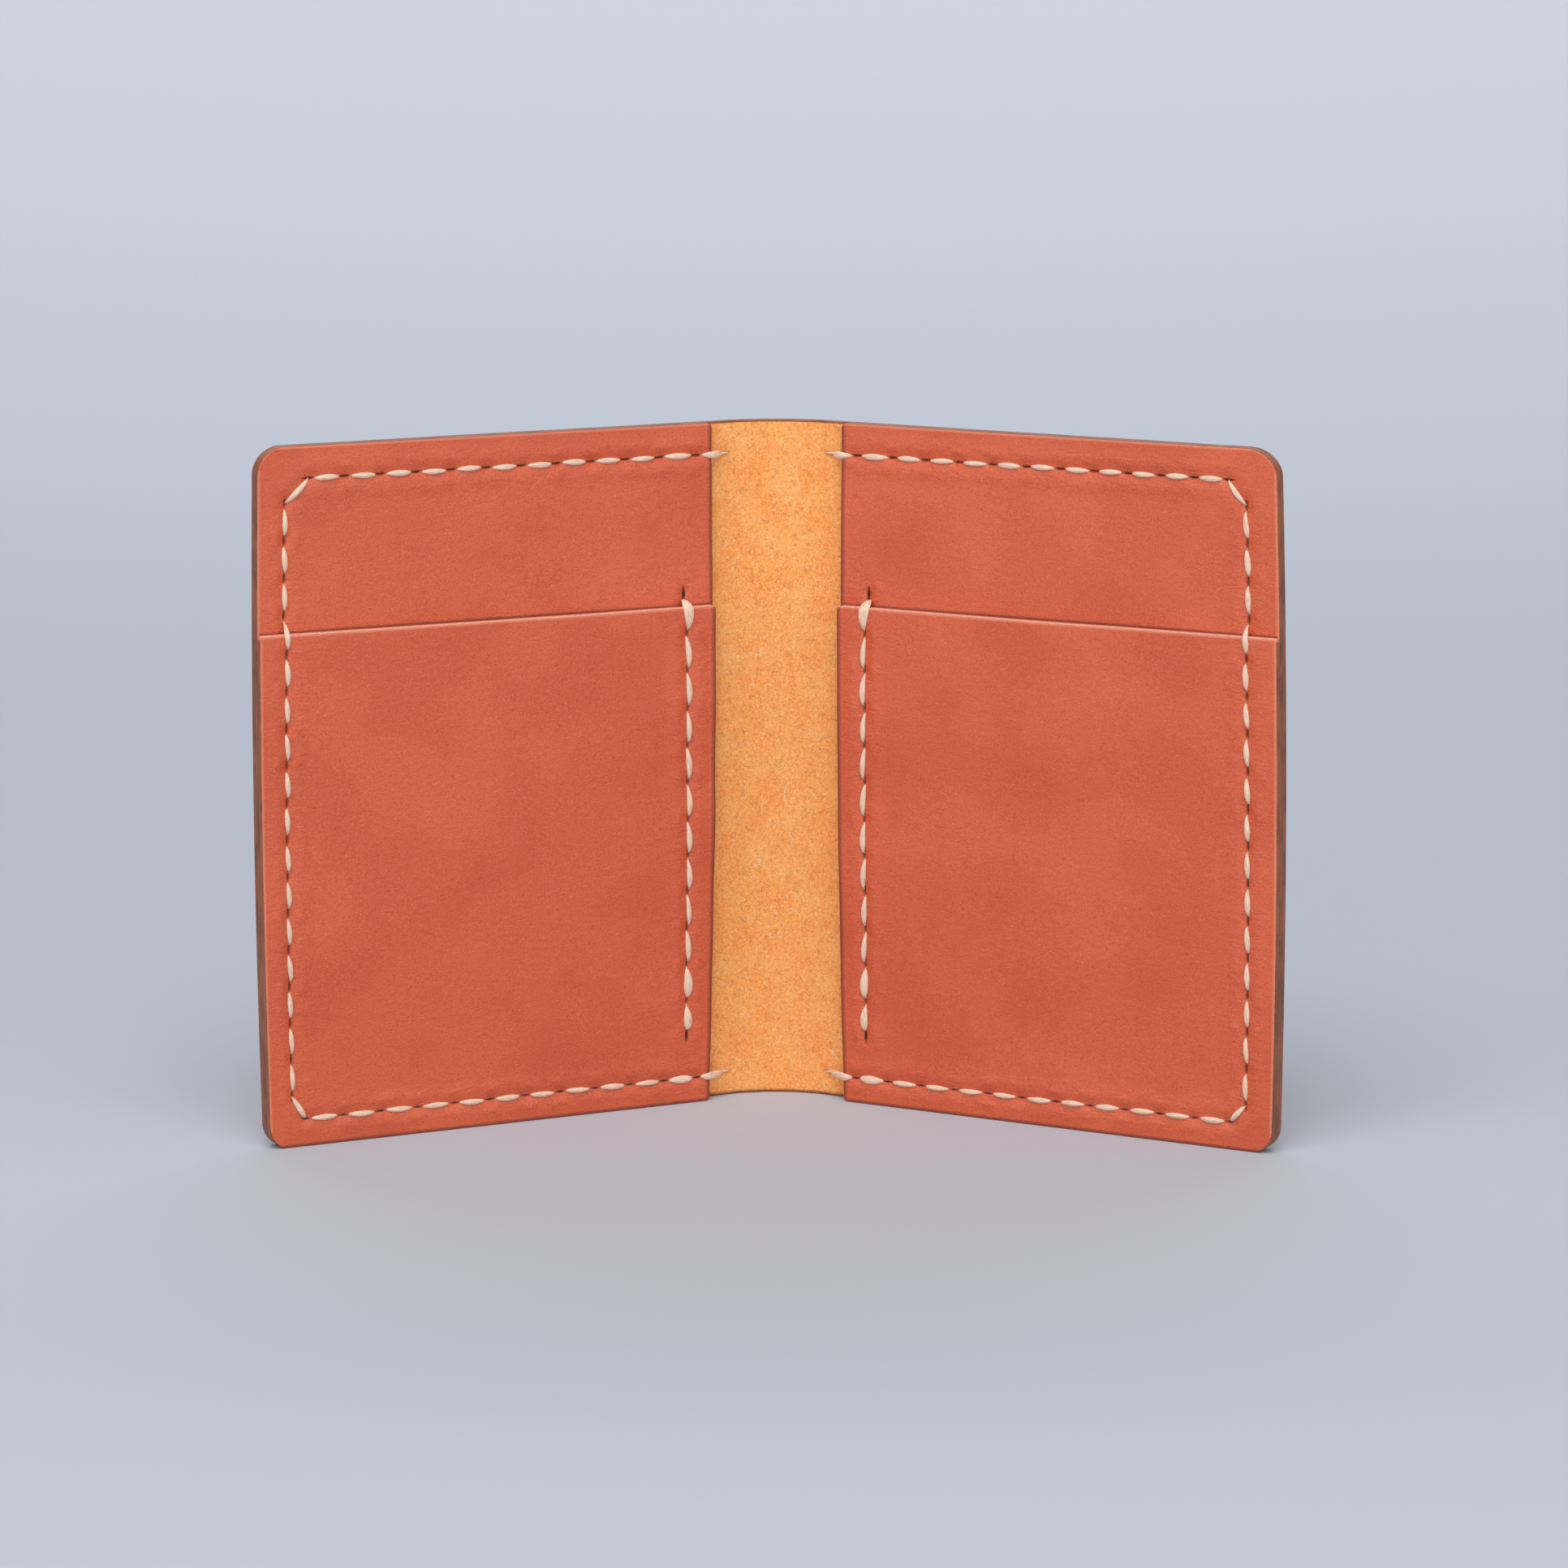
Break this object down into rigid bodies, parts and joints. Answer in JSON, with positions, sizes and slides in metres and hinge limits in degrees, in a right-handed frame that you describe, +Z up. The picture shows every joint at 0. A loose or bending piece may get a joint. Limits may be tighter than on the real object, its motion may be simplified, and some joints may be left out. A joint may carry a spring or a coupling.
{
  "type": "card holder",
  "caption": "Bifold leather card holder standing open like a book, with a full-height back panel and a stitched front card pocket on each leaf, joined by a soft spine.",
  "frame": {"origin": "centre of the bounding box's bottom face, on the surface the holder stands on, as it stands open", "axes": "+X from the left leaf to the right leaf, +Z up along the spine, -Y towards the inside of the open holder, so that the spine is at +Y"},
  "size_m": [0.138, 0.0354, 0.095],
  "materials": {
    "shell_leather": "satin vegetable-tanned grain outside, apricot suede flesh side inside, burnished brown edges",
    "panel_leather": "satin vegetable-tanned grain outside, apricot suede flesh side behind, burnished brown edges",
    "thread": "waxed cream thread"
  },
  "bodies": {
    "spine_centre": {"shell_spine": "shell_leather"},
    "spine_left": {"shell_fold_left": "shell_leather"},
    "spine_right": {"shell_fold_right": "shell_leather"},
    "left_leaf": {"shell_leaf_left": "shell_leather", "back_panel_left": "panel_leather", "front_pocket_left": "panel_leather", "edge_stitching_left": "thread", "pocket_stitching_left": "thread"},
    "right_leaf": {"shell_leaf_right": "shell_leather", "back_panel_right": "panel_leather", "front_pocket_right": "panel_leather", "edge_stitching_right": "thread", "pocket_stitching_right": "thread"}
  },
  "joints": [
    {"name": "left_inner_crease", "type": "hinge", "parent": "spine_centre", "child": "spine_left", "pos_m": [-0.0019, 0.0172, 0], "axis": [0, 0, 1], "range_deg": [-13.3, 31.7]},
    {"name": "left_outer_crease", "type": "hinge", "parent": "spine_left", "child": "left_leaf", "pos_m": [-0.0056, 0.01632, 0], "axis": [0, 0, 1], "range_deg": [-13.3, 31.7]},
    {"name": "right_inner_crease", "type": "hinge", "parent": "spine_centre", "child": "spine_right", "pos_m": [0.0019, 0.0172, 0], "axis": [0, 0, -1], "range_deg": [-13.3, 31.7]},
    {"name": "right_outer_crease", "type": "hinge", "parent": "spine_right", "child": "right_leaf", "pos_m": [0.0056, 0.01632, 0], "axis": [0, 0, -1], "range_deg": [-13.3, 31.7]}
  ],
  "couplings": [
    {"joint": "left_outer_crease", "follows": "left_inner_crease", "ratio": 1},
    {"joint": "right_inner_crease", "follows": "left_inner_crease", "ratio": 1},
    {"joint": "right_outer_crease", "follows": "left_inner_crease", "ratio": 1}
  ]
}
